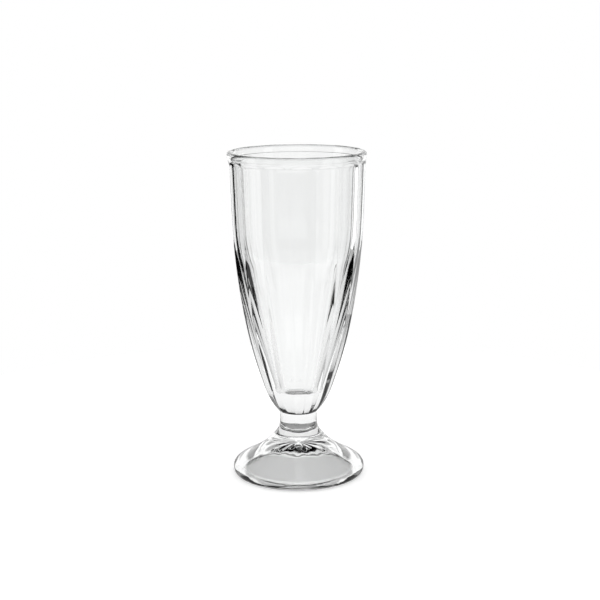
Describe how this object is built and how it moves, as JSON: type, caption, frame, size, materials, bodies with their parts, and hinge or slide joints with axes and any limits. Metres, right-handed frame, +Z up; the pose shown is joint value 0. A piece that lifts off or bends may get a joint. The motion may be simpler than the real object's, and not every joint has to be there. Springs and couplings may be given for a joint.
{
  "type": "soda glass",
  "caption": "Tall footed soda glass in clear pressed glass: tapered bowl with flat side panels and a beaded rim, short waisted stem and flared round foot.",
  "frame": {"origin": "on the axis of the glass, at the level of the table it stands on", "axes": "+Z up along the axis to the rim; -Y is the front, with the middle of one bowl panel facing it"},
  "size_m": [0.076, 0.076, 0.181],
  "materials": {
    "bowl_glass": "clear soda-lime glass, pressed and fire polished",
    "stem_glass": "clear soda-lime glass, pressed and fire polished",
    "foot_glass": "clear soda-lime glass, pressed and fire polished"
  },
  "bodies": {
    "root": {"bowl": "bowl_glass", "stem": "stem_glass", "foot": "foot_glass"}
  },
  "joints": []
}
